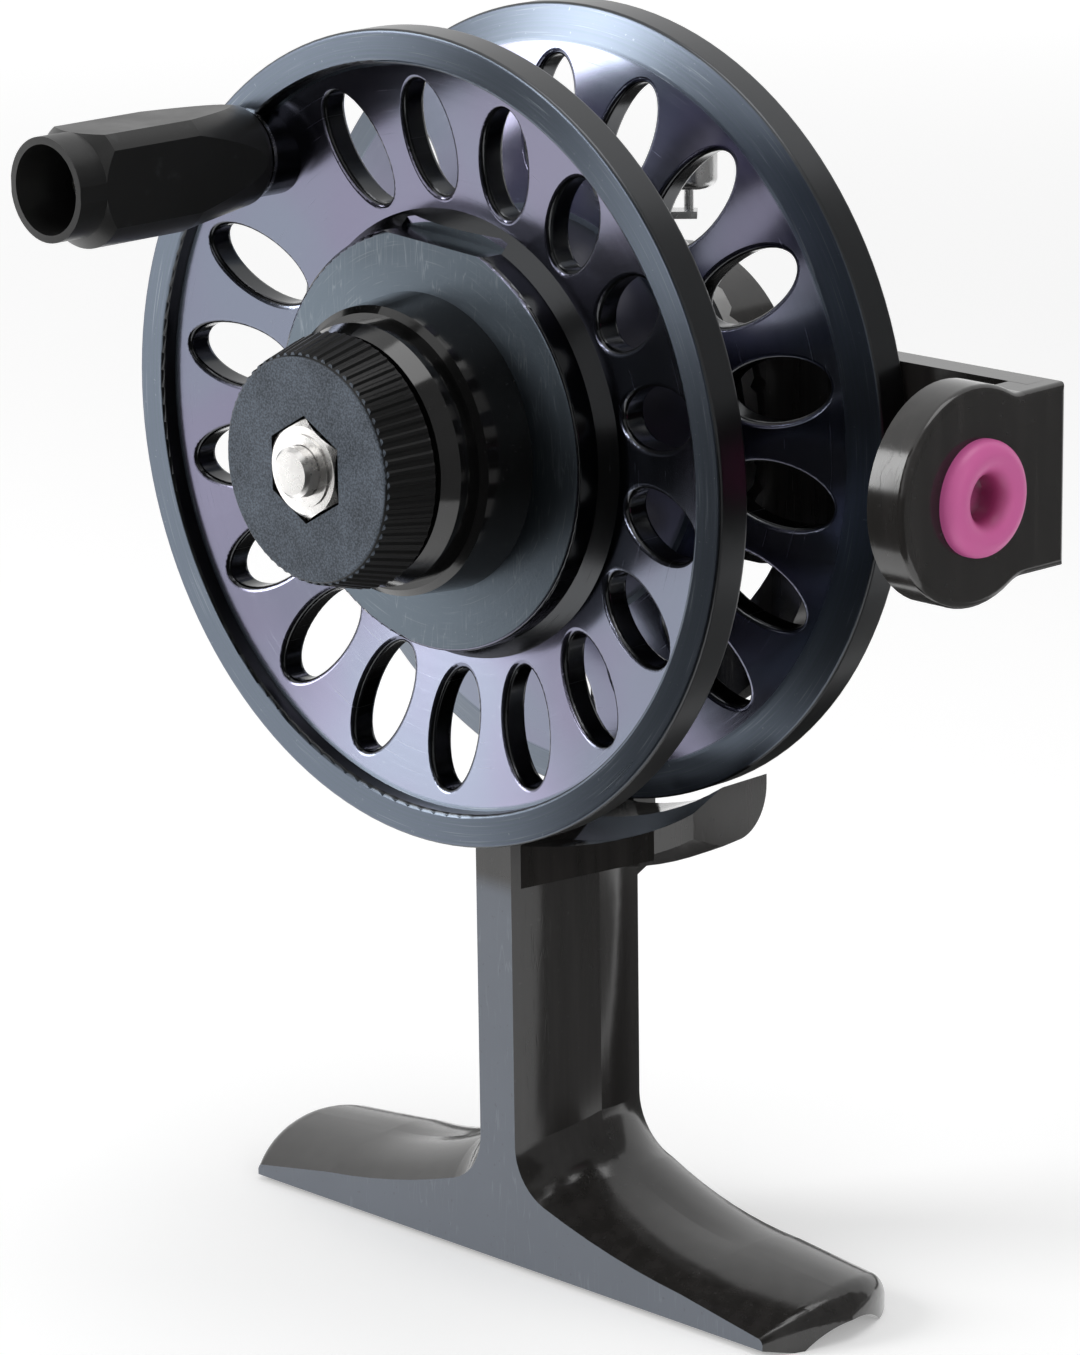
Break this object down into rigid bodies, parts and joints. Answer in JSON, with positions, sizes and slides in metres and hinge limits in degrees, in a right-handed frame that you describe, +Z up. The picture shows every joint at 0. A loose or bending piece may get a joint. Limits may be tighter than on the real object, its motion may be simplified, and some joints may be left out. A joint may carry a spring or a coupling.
{
  "type": "ice fishing reel",
  "caption": "Centre-pin style ice fishing reel: pierced two-flange spool with a turning handle and front brake knob, on an open frame with rod foot, line guard, side arm and ringed line guide.",
  "frame": {"origin": "middle of the foot's seat on the rod, on the frame moulding's parting plane, straight under the spool axis", "axes": "+Z up from the foot to the spool, -Y towards the handle and brake knob, +X towards the line guide, the spool turns about Y"},
  "size_m": [0.0796, 0.0547, 0.1035],
  "materials": {
    "frame_plastic": "satin",
    "spool_anodised": "gloss",
    "cap_black": "gloss",
    "knob_plastic": "matte",
    "handle_black": "matte",
    "ring_pink": "gloss",
    "steel": "brushed",
    "nickel": "gloss",
    "knob_metal": "satin",
    "brake_fibre": "matte"
  },
  "bodies": {
    "frame": {"frame": "frame_plastic", "guide_ring": "ring_pink", "axle": "steel", "axle_lock_washer": "steel", "rear_stand_off": "steel", "bearing_spacer": "steel", "front_bearing_inner_ring": "steel", "front_bearing_balls": "steel", "rear_bearing_inner_ring": "steel", "rear_bearing_balls": "steel", "thrust_washer": "steel", "rear_cover": "frame_plastic", "rear_cover_screws": "nickel", "click_lever_screw": "nickel"},
    "spool": {"spool_front_flange": "spool_anodised", "spool_arbor": "spool_anodised", "spool_rear_flange": "spool_anodised", "spool_screws": "steel", "click_ratchet_ring": "steel", "hub_cap": "cap_black", "front_bearing_outer_ring": "steel", "rear_bearing_outer_ring": "steel", "friction_washer": "brake_fibre", "handle_screw": "nickel", "handle_sleeve": "steel", "handle_washer": "steel"},
    "handle": {"handle_grip": "handle_black"},
    "brake_plate": {"push_washer": "steel", "drag_spring_washer": "steel"},
    "brake_knob": {"drag_knob": "knob_plastic", "hex_nut": "nickel"},
    "click": {"click_lever": "steel", "click_knob": "knob_metal"}
  },
  "joints": [
    {"name": "spool_turn", "type": "hinge", "parent": "frame", "child": "spool", "pos_m": [0, 0, 0.071], "axis": [0, 1, 0], "continuous": true},
    {"name": "handle_turn", "type": "hinge", "parent": "spool", "child": "handle", "pos_m": [-0.01874, -0.0254, 0.09181], "axis": [0, 1, 0], "continuous": true},
    {"name": "brake_travel", "type": "slide", "parent": "frame", "child": "brake_plate", "axis": [0, 1, 0], "range_m": [-0.00035, 0.00035]},
    {"name": "brake_turn", "type": "hinge", "parent": "brake_plate", "child": "brake_knob", "pos_m": [0, -0.0234, 0.071], "axis": [0, 1, 0], "range_deg": [-180, 180]},
    {"name": "click_turn", "type": "hinge", "parent": "frame", "child": "click", "pos_m": [-0.0045, 0.0121, 0.0848], "axis": [0, 0, 1], "range_deg": [-10, 6]}
  ],
  "couplings": [
    {"joint": "brake_turn", "follows": "brake_travel", "rad_per_m": 8975.9}
  ]
}
